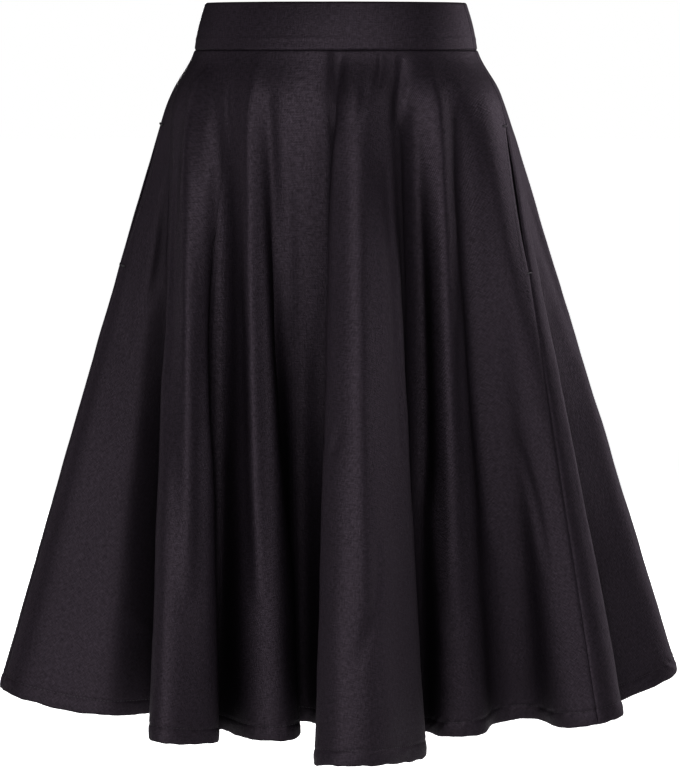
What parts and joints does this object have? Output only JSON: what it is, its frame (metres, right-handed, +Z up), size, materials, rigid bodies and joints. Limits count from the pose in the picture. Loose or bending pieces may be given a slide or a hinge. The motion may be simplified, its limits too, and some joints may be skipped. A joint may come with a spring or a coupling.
{
  "type": "circle skirt, worn on a general figure",
  "caption": "Knee-length flared circle skirt with a wide contoured waistband, hanging folds, in-seam side pockets and a concealed back zip, shown worn and hollow.",
  "frame": {"origin": "centre of the waistband ring, halfway up the band's height, where the wearer's waist holds the skirt", "axes": "+Z up along the wearer, -Y towards the wearer's front, +X towards the wearer's left"},
  "size_m": [0.7054, 0.4898, 0.7324],
  "materials": {
    "cloth": "black mid-weight cotton satin with a soft sheen",
    "pocketing": "plain black pocketing, matt",
    "zip_tape": "black woven zip tape",
    "zip_metal": "black enamel"
  },
  "bodies": {
    "skirt": {"waistband_front": "cloth", "waistband_back_left": "cloth", "waistband_back_right": "cloth", "front_panel": "cloth", "back_panel_left": "cloth", "back_panel_right": "cloth", "pocket_bag_left": "pocketing", "pocket_bag_right": "pocketing", "zip_tape_left": "zip_tape", "zip_tape_right": "zip_tape", "zip_slider": "zip_metal"},
    "pull_tab": {"zip_pull": "zip_metal"}
  },
  "joints": [
    {"name": "pull_tab_hinge", "type": "hinge", "parent": "skirt", "child": "pull_tab", "pos_m": [0, 0.10304, 0.01682], "axis": [1, 0, 0], "range_deg": [0, 150]}
  ]
}
